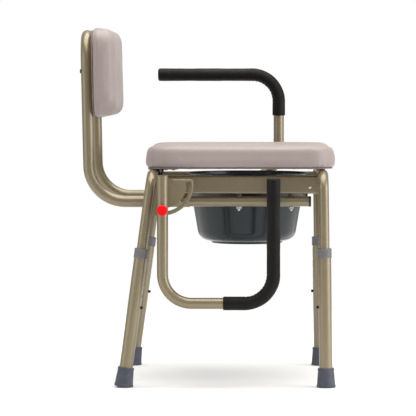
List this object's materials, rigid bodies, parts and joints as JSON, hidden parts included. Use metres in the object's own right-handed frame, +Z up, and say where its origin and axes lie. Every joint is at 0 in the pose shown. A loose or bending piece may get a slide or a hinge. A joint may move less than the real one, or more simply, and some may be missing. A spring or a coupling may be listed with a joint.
{
  "type": "commode chair",
  "caption": "Free-standing bedside commode chair with drop arms, padded flip-up seat and back, adjustable legs and a lift-out bucket.",
  "frame": {"origin": "on the floor, under the centre of the chair's bounding box", "axes": "+X towards the sitter's front, +Y to the sitter's left, +Z up"},
  "size_m": [0.5547, 0.576, 0.775],
  "materials": {
    "frame_paint": "champagne metallic powder coat",
    "grip_foam": "fine-celled black foam sleeve",
    "vinyl": "pale rose-grey upholstery vinyl, fine grain",
    "plywood": "birch plywood board",
    "grey_plastic": "moulded mid-grey plastic",
    "foot_rubber": "blue-grey moulded rubber",
    "black_plastic": "black moulded plastic",
    "red_plastic": "bright red moulded plastic",
    "bucket_plastic": "blue-grey polypropylene",
    "zinc_steel": "zinc-plated steel",
    "black_steel": "black-oxide steel",
    "nylon": "natural nylon",
    "bumper_rubber": "black rubber"
  },
  "bodies": {
    "frame": {"front_frame": "frame_paint", "rear_frame": "frame_paint", "left_seat_rail": "frame_paint", "left_lower_rail": "frame_paint", "left_lock_plate": "frame_paint", "right_seat_rail": "frame_paint", "right_lower_rail": "frame_paint", "right_lock_plate": "frame_paint", "rail_plugs": "black_plastic", "rail_bolts": "zinc_steel", "rail_spacers": "black_plastic", "rail_nuts": "zinc_steel", "pivot_bolts": "zinc_steel", "pivot_nuts": "zinc_steel", "back_frame": "frame_paint", "back_board": "plywood", "back_cushion": "vinyl", "back_screws": "black_steel", "back_bolts": "zinc_steel", "snap_springs": "zinc_steel"},
    "front_left_leg": {"front_left_lower_leg": "frame_paint", "front_left_collar": "grey_plastic", "front_left_foot": "foot_rubber"},
    "front_right_leg": {"front_right_lower_leg": "frame_paint", "front_right_collar": "grey_plastic", "front_right_foot": "foot_rubber"},
    "rear_left_leg": {"rear_left_lower_leg": "frame_paint", "rear_left_collar": "grey_plastic", "rear_left_foot": "foot_rubber"},
    "rear_right_leg": {"rear_right_lower_leg": "frame_paint", "rear_right_collar": "grey_plastic", "rear_right_foot": "foot_rubber"},
    "front_left_snap": {"front_left_snap_button": "black_steel"},
    "front_right_snap": {"front_right_snap_button": "black_steel"},
    "rear_left_snap": {"rear_left_snap_button": "black_steel"},
    "rear_right_snap": {"rear_right_snap_button": "black_steel"},
    "left_arm": {"left_arm_tube": "frame_paint", "left_arm_grip": "grip_foam", "left_arm_cap": "grey_plastic", "left_pivot_bush": "nylon"},
    "right_arm": {"right_arm_tube": "frame_paint", "right_arm_grip": "grip_foam", "right_arm_cap": "grey_plastic", "right_pivot_bush": "nylon"},
    "left_lock": {"left_lock_button": "red_plastic", "left_lock_pin": "zinc_steel", "left_lock_spring": "zinc_steel"},
    "right_lock": {"right_lock_button": "red_plastic", "right_lock_pin": "zinc_steel", "right_lock_spring": "zinc_steel"},
    "seat": {"seat_cushion": "vinyl", "seat_board": "plywood", "seat_hinge_clamps": "black_plastic", "seat_clamp_screws": "zinc_steel", "seat_bumpers": "bumper_rubber"},
    "bucket": {"bucket": "bucket_plastic"}
  },
  "joints": [
    {"name": "front_left_leg_height", "type": "slide", "parent": "frame", "child": "front_left_leg", "axis": [0.0141, 0, -0.9999], "range_m": [0, 0.1016], "deforming": ["front_left_snap_button"]},
    {"name": "front_right_leg_height", "type": "slide", "parent": "frame", "child": "front_right_leg", "axis": [0.0141, 0, -0.9999], "range_m": [0, 0.1016], "deforming": ["front_right_snap_button"]},
    {"name": "rear_left_leg_height", "type": "slide", "parent": "frame", "child": "rear_left_leg", "axis": [-0.1331, 0, -0.9911], "range_m": [0, 0.1016], "deforming": ["rear_left_snap_button"]},
    {"name": "rear_right_leg_height", "type": "slide", "parent": "frame", "child": "rear_right_leg", "axis": [-0.1331, 0, -0.9911], "range_m": [0, 0.1016], "deforming": ["rear_right_snap_button"]},
    {"name": "front_left_snap_press", "type": "slide", "parent": "frame", "child": "front_left_snap", "axis": [0.9999, 0, 0.0141], "range_m": [0, 0.0046], "stiffness_N_per_m": 1500, "springref_m": -0.004, "deforming": ["snap_springs"]},
    {"name": "front_right_snap_press", "type": "slide", "parent": "frame", "child": "front_right_snap", "axis": [0.9999, 0, 0.0141], "range_m": [0, 0.0046], "stiffness_N_per_m": 1500, "springref_m": -0.004, "deforming": ["snap_springs"]},
    {"name": "rear_left_snap_press", "type": "slide", "parent": "frame", "child": "rear_left_snap", "axis": [-0.9911, 0, 0.1331], "range_m": [0, 0.0046], "stiffness_N_per_m": 1500, "springref_m": -0.004, "deforming": ["snap_springs"]},
    {"name": "rear_right_snap_press", "type": "slide", "parent": "frame", "child": "rear_right_snap", "axis": [-0.9911, 0, 0.1331], "range_m": [0, 0.0046], "stiffness_N_per_m": 1500, "springref_m": -0.004, "deforming": ["snap_springs"]},
    {"name": "left_arm_drop", "type": "hinge", "parent": "frame", "child": "left_arm", "pos_m": [-0.0948, 0.2627, 0.4375], "axis": [0, 1, 0], "range_deg": [0, 90], "deforming": ["left_lock_pin"]},
    {"name": "right_arm_raise", "type": "hinge", "parent": "frame", "child": "right_arm", "pos_m": [-0.0948, -0.2627, 0.4375], "axis": [0, -1, 0], "range_deg": [0, 90], "deforming": ["right_lock_pin"]},
    {"name": "left_lock_press", "type": "slide", "parent": "left_arm", "child": "left_lock", "axis": [0, -1, 0], "range_m": [0, 0.006], "stiffness_N_per_m": 900, "springref_m": -0.004, "deforming": ["left_lock_spring"]},
    {"name": "right_lock_press", "type": "slide", "parent": "right_arm", "child": "right_lock", "axis": [0, 1, 0], "range_m": [0, 0.006], "stiffness_N_per_m": 900, "springref_m": -0.004, "deforming": ["right_lock_spring"]},
    {"name": "seat_flip", "type": "hinge", "parent": "frame", "child": "seat", "pos_m": [-0.11851, 0, 0.457], "axis": [0, -1, 0], "range_deg": [0, 90]},
    {"name": "bucket_lift", "type": "slide", "parent": "frame", "child": "bucket", "axis": [0, 0, 1], "range_m": [0, 0.012]}
  ]
}
